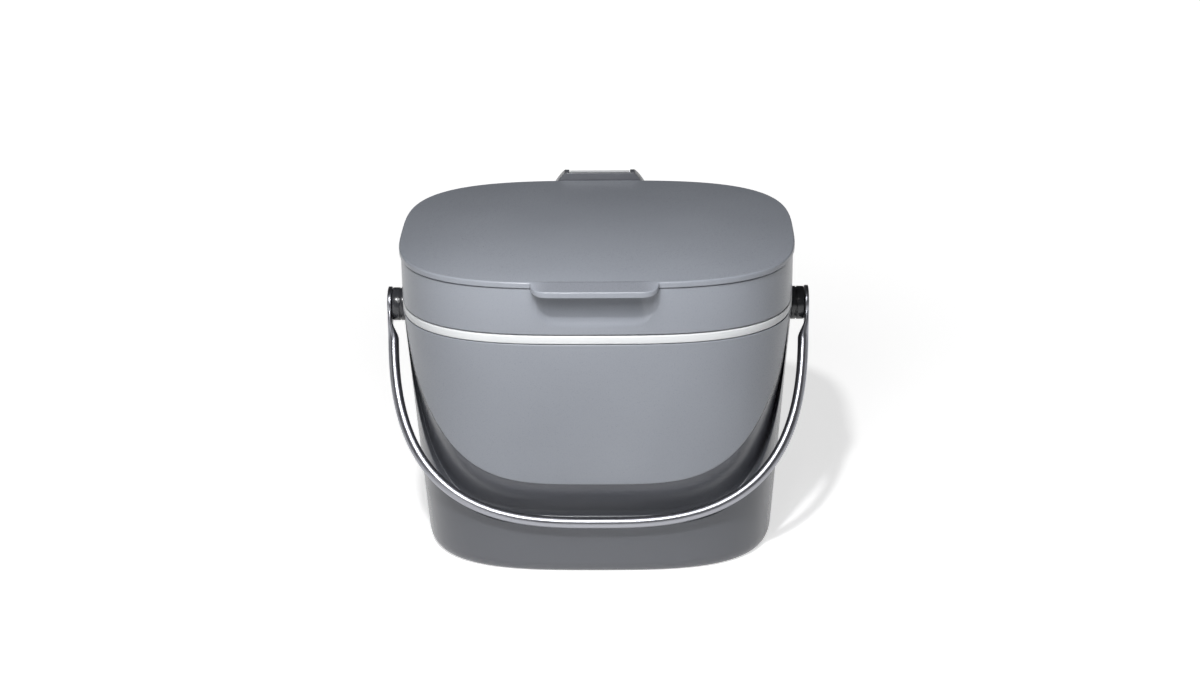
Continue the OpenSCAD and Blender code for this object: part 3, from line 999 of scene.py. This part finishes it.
lid_under = lid_high - lid_t
plain_edge = [
    [[edge_in, lid_under], [edge_in, lid_low]],
    [[edge_in, lid_low], [0.3, lid_low]],
    [[0.3, lid_low], [0, lid_low + 0.4]],
    [[0, lid_low + 0.4], [0, lid_low + 1.4]],
    rounded([[0, lid_low + 1.4], [0, lid_high], [crown_start, lid_high]], [0, edge_r, 0], 16),
]
tab_under = [[edge_in, lid_low], [0.6, lid_low - 0.6], [4 - tab_out, tab_low]]
tab_nose = [[4 - tab_out, tab_low], [-tab_out, tab_low], [-tab_out, tab_low + 0.8]]
tab_top = [[-tab_out, tab_low + 1.2], [-tab_out, tab_high], [1.4, lid_high], [crown_start, lid_high]]
tab_edge = [
    [[edge_in, lid_under], [edge_in, lid_low]],
    rounded(tab_under, [0, 1.5, 0], 8),
    rounded(tab_nose, [0, 0.6, 0], 6),
    [[-tab_out, tab_low + 0.8], [-tab_out, tab_low + 1.2]],
    rounded(tab_top, [0, 0.8, 9, 0], 16),
]
edge_counts = [5, 14, 8, 4, 54]


def joined_profile(pieces):
    """Profile pieces, each with its own number of evenly spaced points, one after another."""
    rows = [resample(np.asarray(p, float), n) for p, n in zip(pieces, edge_counts)]
    return np.concatenate([rows[0]] + [r[1:] for r in rows[1:]])


def lid_height(inset):
    """Crowned top: rises from the edge by crown * (1 - (1 - s)^power), s being the share of the way in."""
    share = np.clip((inset - crown_start) / (lid_half_d - crown_start), 0, 1)
    return lid_high + crown * (1 - (1 - share) ** crown_power)


def tab_share(x):
    """How far the edge has grown into the tab: 1 - (1 - s)^2.5 inwards from each end, eased at its start."""
    s = np.clip((tab_half - np.abs(x)) / tab_run, 0, 1)
    s = s * ease(s, -0.12, 0.16)
    return 1 - (1 - s) ** 2.5


def oval_rings(angle, half_w, half_d, z):
    """Rings of an oval, one for each half width, half depth and height."""
    x, y = oval(angle[None], half_w[:, None], half_d[:, None])
    return np.stack([x, y, np.broadcast_to(np.reshape(z, (-1, 1)), x.shape)], -1)


under_rows = 8
edge_belt = 12.0
belt_inset = 60.0


def lid_rings(angle):
    """Levels of the lid from the middle of its underside, round its edge and up to the middle of its top.
    At the front each edge point moves from the plain edge's profile to the tab's by tab_share."""
    plain, tab = joined_profile(plain_edge), joined_profile(tab_edge)
    x, _ = oval(angle, lid_half_w, lid_half_d)
    share = np.where(np.sin(angle) < 0, tab_share(x), 0)[None, :, None]
    pair = plain[:, None] * (1 - share) + tab[:, None] * share
    ex, ey = oval(angle[None], lid_half_w - pair[..., 0], lid_half_d - pair[..., 0])
    edge = np.stack([ex, ey, pair[..., 1]], -1)
    out = np.linspace(0, 0.9, under_rows) + 1e-9
    under = oval_rings(angle, (lid_half_w - edge_in) * out, (lid_half_d - edge_in) * out, lid_under)
    inset = [np.linspace(crown_start, edge_belt, 12)[1:], np.linspace(edge_belt, belt_inset, 22)[1:]]
    inset = np.concatenate(inset)
    belt = oval_rings(angle, lid_half_w - inset, lid_half_d - inset, lid_height(inset))
    shrink = np.append(np.linspace(1, 0.06, 14)[1:], 1e-9)
    depth = (lid_half_d - belt_inset) * shrink
    middle = oval_rings(angle, (lid_half_w - belt_inset) * shrink, depth, lid_height(lid_half_d - depth))
    return np.concatenate([under, edge, belt, middle])


lid_sheet = lid_rings(collar_angle)

hood_r = 5.1
hood_top = hinge_z + hood_r
hood_low = lid_low + 0.6
hood_half_foot = 32.0
hood_half_top = 25.0
hood_front = hinge_y - 6.6
hood_t = 1.7
cheek_in = barrel_half + 0.4
cheek_t = 10.0
hood_corners = [
    [-hood_half_foot, hood_low],
    [hood_half_foot, hood_low],
    [hood_half_top, hood_top],
    [-hood_half_top, hood_top],
]
hood_line = closed_outline(hood_corners, [0.5, 0.5, 3.2, 3.2], 10)
hood_wall = laid(bevelled_plate(hood_line, hood_front, hood_front + hood_t, 0.55), (0, 2, 1))
cheek_arc = np.radians(np.linspace(-55, 90, 22))
cheek_line = closed_outline(
    np.concatenate(
        [
            [[hood_front + 0.2, hood_low], [hinge_y + 2.2, hood_low]],
            np.stack([hinge_y + hood_r * np.cos(cheek_arc), hinge_z + hood_r * np.sin(cheek_arc)], -1),
            [[hood_front + 0.2, hood_top]],
        ]
    ),
    [0.3, 0.3] + [0] * len(cheek_arc) + [1.5],
)


def cheek(side):
    """A cheek of the hood. Its outer side slopes in as it rises, as the hood's ends do, and stays a hair
    inside them."""
    rings, quads = bevelled_plate(cheek_line, cheek_in, cheek_in + cheek_t, 0.8)
    y, z, level = rings[..., 0], rings[..., 1], rings[..., 2]
    rise = (z - hood_low) / (hood_top - hood_low)
    outer = hood_half_foot - (hood_half_foot - hood_half_top) * rise - 0.05
    across = cheek_in + (level - cheek_in) / cheek_t * (outer - cheek_in)
    return np.stack([across * side, y, z], -1), quads if side > 0 else quads[:, ::-1]


# The tab's face is the last piece of its edge profile, and the pieces before it share three points. From
# its nose's round to where the crown starts it is half glossier and painted half darker, a painted shade.
tab_face = under_rows + sum(edge_counts[:-1]) - 3
tab_rows = slice(tab_face + 10, tab_face + 51)
tab_shade_and_polish = 0.5
lid_shade_and_polish = np.zeros(lid_sheet.shape[:2])
in_tab = np.where(np.sin(collar_angle) < 0, tab_share(lid_sheet[tab_face + 4, :, 0]), 0)
lid_shade_and_polish[tab_rows] = tab_shade_and_polish * in_tab
lid_surfaces = [
    ((lid_sheet, grid_quads(*lid_sheet.shape[:2], closed=True)), lid_shade_and_polish.ravel()),
    # The hood and cheeks take the darker painted-shade colour and the gloss.
    (hood_wall, 1),
    (cheek(1), 1),
    (cheek(-1), 1),
]
make_piece(
    "lid_moulding",
    [surface for surface, _ in lid_surfaces],
    "lid",
    charcoal,
    "lid_shell",
    shade_and_polish=point_values(lid_surfaces),
)

# ---------- Lid liner and seal ----------
# Inside the lid a pale ABS liner is clipped in, whose shallow pan plugs the collar's mouth.
# A soft grey ring is stretched round the pan and closes against the mouth.

liner_in = 2.7
liner_middle = 40.0
liner_top = lid_low + 1.8
liner_face = lid_low + 0.02
pan_in = 14.4
pan_low = lid_low - 4.4
pan_rim = 7.6
pan_raise = 0.8
liner_profile = rounded(
    [
        [liner_middle, liner_top],
        [liner_in, liner_top],
        [liner_in, liner_face],
        [pan_in, liner_face],
        [pan_in, pan_low],
        [pan_in + pan_rim, pan_low],
        [pan_in + pan_rim + 1, pan_low + pan_raise],
        [liner_middle, pan_low + pan_raise],
    ],
    [0, 0.2, 0.3, 1.0, 1.4, 0.6, 0.6, 0],
)
liner_levels = inset_levels(liner_profile[::-1], lid_half_w, lid_half_d)
make_piece(
    "lid_liner_moulding",
    [stack(liner_levels, all_round, low_pole=True, high_pole=True)],
    "lid",
    pale_abs,
    "lid_liner",
)
seal_back = pan_in + 0.05
seal_lip = pan_in - 0.6
seal_middle = lid_low - 2.2
seal_profile = rounded(
    [
        [seal_back, seal_middle],
        [seal_back, seal_middle - 1.2],
        [seal_lip, seal_middle - 0.7],
        [seal_lip, seal_middle + 0.8],
        [seal_back, seal_middle + 1.2],
        [seal_back, seal_middle],
    ],
    [0, 0.1, 0.3, 0.3, 0.1, 0],
)
grey_silicone = moulded_plastic("grey_silicone", "#a2a4a8", "#a8aaae", 0.55, wave=0.02, grain=0.02)
make_piece(
    "lid_seal_ring",
    [stack(inset_levels(seal_profile, lid_half_w, lid_half_d), all_round)],
    "lid",
    grey_silicone,
    "lid_seal",
)

# ---------- Surroundings ----------
# A white sweep of paper lies under the caddy. A small lamp high in front throws the shadow, a
# soft one hangs just above the lid's front edge, a wide one stands low in front on the left, and
# a weak one on each side. The paper glows by itself, less so near the caddy.

shadow_glow = 0.66
glow_near = 0.3
glow_far = 1.1
sweep_reach = 12.0
sweep_drop = 0.0002

paper = bpy.data.materials.new("white_paper")
paper.use_nodes = True
paper.node_tree.nodes.clear()
ray = add_node(paper, "ShaderNodeLightPath")
seen = add_node(
    paper,
    "ShaderNodeMath",
    None,
    {0: (ray, "Is Camera Ray"), 1: (ray, "Is Glossy Ray")},
    operation="MAXIMUM",
)
spot = add_node(paper, "ShaderNodeTexCoord")
away = add_node(paper, "ShaderNodeVectorMath", None, {0: (spot, "Object")}, operation="LENGTH")
lift = add_node(
    paper,
    "ShaderNodeMapRange",
    {"From Min": glow_near, "From Max": glow_far, "To Min": shadow_glow, "To Max": 1.0},
    {"Value": (away, "Value")},
    interpolation_type="SMOOTHSTEP",
)
glow_level = add_node(
    paper, "ShaderNodeMath", None, {0: (seen, "Value"), 1: (lift, "Result")}, operation="MULTIPLY"
)
matt = add_node(paper, "ShaderNodeBsdfDiffuse", {"Color": linear("#f0f0f0")})
glow = add_node(paper, "ShaderNodeEmission", {"Color": (1, 1, 1, 1)}, {"Strength": (glow_level, "Value")})
both_shaders = add_node(paper, "ShaderNodeAddShader", None, {0: (matt, "BSDF"), 1: (glow, "Emission")})
add_node(paper, "ShaderNodeOutputMaterial", None, {"Surface": (both_shaders, "Shader")})
sweep_corners = [(x * sweep_reach, y * sweep_reach, 0) for x, y in ((-1, -1), (1, -1), (1, 1), (-1, 1))]
floor_mesh = bpy.data.meshes.new("floor")
floor_mesh.from_pydata(sweep_corners, [], [(0, 1, 2, 3)])
floor_mesh.materials.append(paper)
floor_piece = bpy.data.objects.new("floor", floor_mesh)
bpy.context.scene.collection.objects.link(floor_piece)
floor_piece.location = (0, 0, -sweep_drop)

world = bpy.data.worlds.new("surroundings")
bpy.context.scene.world = world
world.use_nodes = True
world.node_tree.nodes.clear()
sky_ray = add_node(world, "ShaderNodeLightPath")
sky_seen = add_node(
    world,
    "ShaderNodeMath",
    None,
    {0: (sky_ray, "Is Camera Ray"), 1: (sky_ray, "Is Transmission Ray")},
    operation="MAXIMUM",
)
dim = add_node(world, "ShaderNodeBackground", {"Color": (1, 1, 1, 1), "Strength": 0.05})
bright = add_node(world, "ShaderNodeBackground", {"Color": (1, 1, 1, 1), "Strength": 1.0})
pick = add_node(
    world,
    "ShaderNodeMixShader",
    None,
    {0: (sky_seen, "Value"), 1: (dim, "Background"), 2: (bright, "Background")},
)
add_node(world, "ShaderNodeOutputWorld", None, {"Surface": (pick, "Shader")})


def lamp(name, place, aim, size, power):
    """A round soft light of a size in metres that faces a point."""
    data = bpy.data.lights.new(name, "AREA")
    data.shape = "DISK"
    data.size = size
    data.energy = power
    light = bpy.data.objects.new(name, data)
    bpy.context.scene.collection.objects.link(light)
    light.location = place
    light.rotation_mode = "QUATERNION"
    light.rotation_quaternion = (Vector(aim) - Vector(place)).to_track_quat("-Z", "Y")


lamp("key", (-0.221, -0.990, 1.487), (0, 0, 0.1), 0.09, 12.4)
lamp("soft_front", (-0.02, -0.29, 0.43), (0, -0.1, 0.18), 0.22, 1.2)
lamp("soft_low", (-0.9, -1.6, 0.3), (0, 0, 0.12), 0.8, 2.8)
lamp("soft_left", (-1.1, -0.1, 0.45), (0, 0, 0.12), 0.5, 0.7)
lamp("soft_right", (1.1, -0.1, 0.45), (0, 0, 0.12), 0.5, 0.7)

bpy.context.scene.view_settings.view_transform = "Standard"
